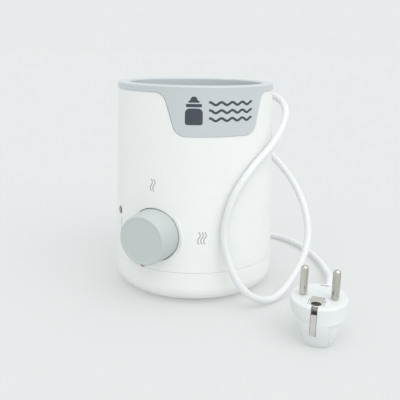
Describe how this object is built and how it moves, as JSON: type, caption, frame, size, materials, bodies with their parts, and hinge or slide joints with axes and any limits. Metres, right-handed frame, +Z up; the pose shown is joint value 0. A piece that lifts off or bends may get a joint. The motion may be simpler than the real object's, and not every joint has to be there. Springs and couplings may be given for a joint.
{
  "type": "bottle warmer",
  "caption": "Round electric bottle warmer with an open water well, a turning heat control on its lower front, an indicator lamp and a mains lead with an earthed plug.",
  "frame": {"origin": "centre of the foot ring's underside, on the surface that the warmer stands on", "axes": "+Z up along the axis of the well, -Y towards the front, where the collar's tab is, +X to the right as seen from the front"},
  "size_m": [0.1723, 0.2649, 0.148],
  "materials": {
    "casing_white": "fine satin moulded polypropylene",
    "collar_grey": "satin bluish grey polypropylene",
    "knob_grey": "satin bluish grey polypropylene",
    "lens_grey": "dark tinted translucent plastic",
    "foot_rubber": "matt soft rubber",
    "gasket_silicone": "translucent silicone",
    "well_aluminium": "drawn aluminium with a fine brushed floor",
    "spreader_aluminium": "cast aluminium, machined face",
    "inner_plastic": "natural heat-resistant polyamide",
    "heater_ceramic": "matt ceramic block in a foil jacket",
    "steatite": "matt steatite",
    "mica": "flaky translucent mica",
    "plated_steel": "zinc-plated steel",
    "brass": "plain brass",
    "spring_bronze": "rolled phosphor bronze",
    "bimetal": "rolled thermostat bimetal",
    "fuse_case": "crimped aluminium can",
    "glass_sleeve": "braided glass-fibre sleeve",
    "bakelite": "dark phenolic moulding",
    "lamp_glass": "clear glass bulb",
    "wire_brown": "silicone insulation",
    "wire_blue": "silicone insulation",
    "wire_white": "silicone insulation",
    "cord_white": "smooth flexible vinyl",
    "plug_white": "moulded vinyl with a soft gloss",
    "print_slate": "pad-printed ink, dark slate",
    "print_grey": "pad-printed ink, mid grey",
    "print_red": "pad-printed ink, reddish brown",
    "pin_nickel": "nickel-plated brass"
  },
  "bodies": {
    "root": {"base_cover": "casing_white", "base_screws": "plated_steel", "bimetal_strip": "bimetal", "bracket_screws": "plated_steel", "bush_nut": "brass", "ceramic_spacer_inner": "steatite", "ceramic_spacer_middle": "steatite", "ceramic_spacer_outer": "steatite", "clamp_screws": "plated_steel", "clamp_spacer_left": "plated_steel", "clamp_spacer_right": "plated_steel", "cord_clamp": "inner_plastic", "cord_clamp_screws": "plated_steel", "cord_gland": "cord_white", "foot_ring": "foot_rubber", "fuse_clip": "plated_steel", "fuse_clip_screw": "plated_steel", "fuse_sleeve": "glass_sleeve", "heat_spreader": "spreader_aluminium", "heater_block": "heater_ceramic", "heater_clamp": "plated_steel", "heater_wire": "wire_white", "indicator_lamp": "lamp_glass", "indicator_lens": "lens_grey", "inner_sheath": "cord_white", "lamp_holder": "inner_plastic", "leaf_terminal": "spring_bronze", "live_wire": "wire_brown", "mains_wires": "wire_white", "mica_sheet": "mica", "neutral_wire": "wire_blue", "outer_shell": "casing_white", "overheat_cutout": "bakelite", "plug_body": "plug_white", "plug_earth_socket": "pin_nickel", "plug_earth_strip_front": "pin_nickel", "plug_earth_strip_rear": "pin_nickel", "plug_pin_left": "pin_nickel", "plug_pin_right": "pin_nickel", "plug_strain_relief": "cord_white", "power_cord": "cord_white", "spindle_bush": "brass", "stack_rivet": "plated_steel", "switched_wire": "wire_brown", "terminal_block": "inner_plastic", "terminal_screws": "brass", "thermal_fuse": "fuse_case", "thermostat_bracket": "plated_steel", "top_collar": "collar_grey", "water_well": "well_aluminium", "well_carrier": "inner_plastic", "well_gasket": "gasket_silicone"},
    "knob": {"control_knob": "knob_grey", "knob_clip": "plated_steel", "thermostat_spindle": "brass"},
    "pin": {"push_pin": "steatite"},
    "leaf": {"contact_leaf": "spring_bronze"}
  },
  "joints": [
    {"name": "knob_turn", "type": "hinge", "parent": "root", "child": "knob", "pos_m": [0, 0, 0.0489], "axis": [0.6858, 0.7278, 0], "range_deg": [0, 270]},
    {"name": "pin_push", "type": "slide", "parent": "root", "child": "pin", "axis": [0.6858, 0.7278, 0], "range_m": [0, 0.0006]},
    {"name": "leaf_bend", "type": "hinge", "parent": "root", "child": "leaf", "pos_m": [-0.02328, -0.02471, 0.0392], "axis": [-0.7278, 0.6858, 0], "range_deg": [0, 3.5]}
  ],
  "couplings": [
    {"joint": "pin_push", "follows": "knob_turn", "m_per_rad": 0.00011884},
    {"joint": "leaf_bend", "follows": "knob_turn", "ratio": 0.01225}
  ]
}
